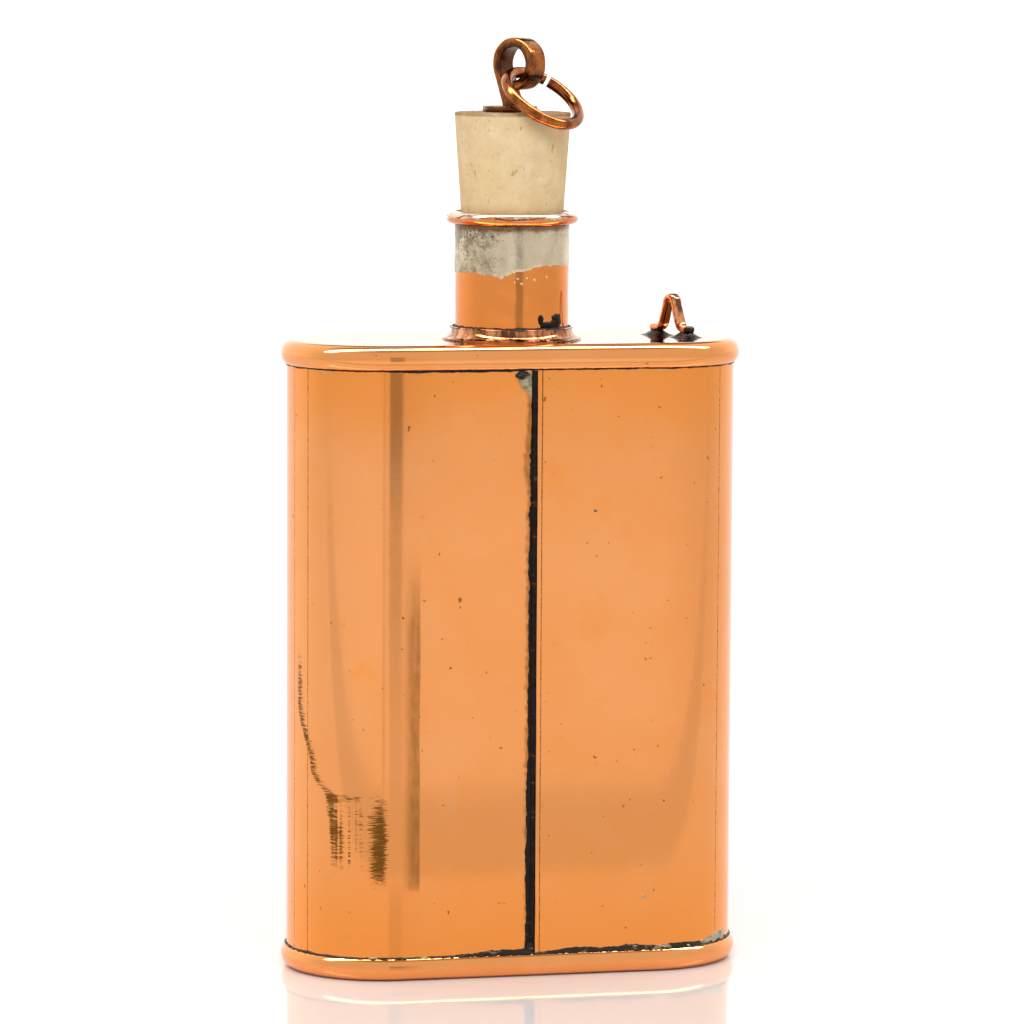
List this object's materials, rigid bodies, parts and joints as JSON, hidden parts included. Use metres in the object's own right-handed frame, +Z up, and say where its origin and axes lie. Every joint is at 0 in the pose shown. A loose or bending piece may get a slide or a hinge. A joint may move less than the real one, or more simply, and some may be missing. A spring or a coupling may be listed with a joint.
{
  "type": "copper water bottle",
  "caption": "Flat copper bottle with rounded ends, a soldered front seam, a short neck, and a cork stopper with a curled eye and split ring.",
  "frame": {"origin": "middle of the flat base, on the surface that the bottle stands on", "axes": "+Z up through the neck and stopper, +X along the bottle's width towards the staple, -Y out of the face with the seam"},
  "size_m": [0.0852, 0.0372, 0.1703],
  "materials": {
    "polished_copper": "polished copper sheet, finely brushed, faint handling marks",
    "aged_copper": "browned copper, worn bright on its edges",
    "dark_solder": "rough soft solder, blackened by flux",
    "tin_coat": "pitted grey tin coat with a wavy edge",
    "cork": "pale smooth cork with small pores"
  },
  "bodies": {
    "flask": {"body_wrap": "polished_copper", "shoulder_cap": "polished_copper", "base_cap": "polished_copper", "neck_tube": "polished_copper", "neck_collar": "polished_copper", "lip_ring": "polished_copper", "body_seam_solder": "dark_solder", "shoulder_joint_solder": "dark_solder", "base_joint_solder": "dark_solder", "neck_joint_solder": "dark_solder", "lip_joint_solder": "tin_coat", "chain_staple": "polished_copper", "staple_foot_solder_front": "dark_solder", "staple_foot_solder_rear": "dark_solder"},
    "rove": {"stopper_rove": "aged_copper"},
    "stopper": {"cork_stopper": "cork", "stopper_plate": "aged_copper", "stopper_eye": "aged_copper"},
    "ring": {"split_ring": "aged_copper"}
  },
  "joints": [
    {"name": "stopper_pull", "type": "slide", "parent": "flask", "child": "rove", "axis": [0, 0, 1], "range_m": [0, 0.05]},
    {"name": "stopper_twist", "type": "hinge", "parent": "rove", "child": "stopper", "pos_m": [0, 0, 0.1265], "axis": [0, 0, 1], "continuous": true},
    {"name": "ring_swing", "type": "hinge", "parent": "stopper", "child": "ring", "pos_m": [0.00087, -0.00122, 0.1639], "axis": [-0.8141, -0.5807, 0], "range_deg": [0, 105]}
  ]
}
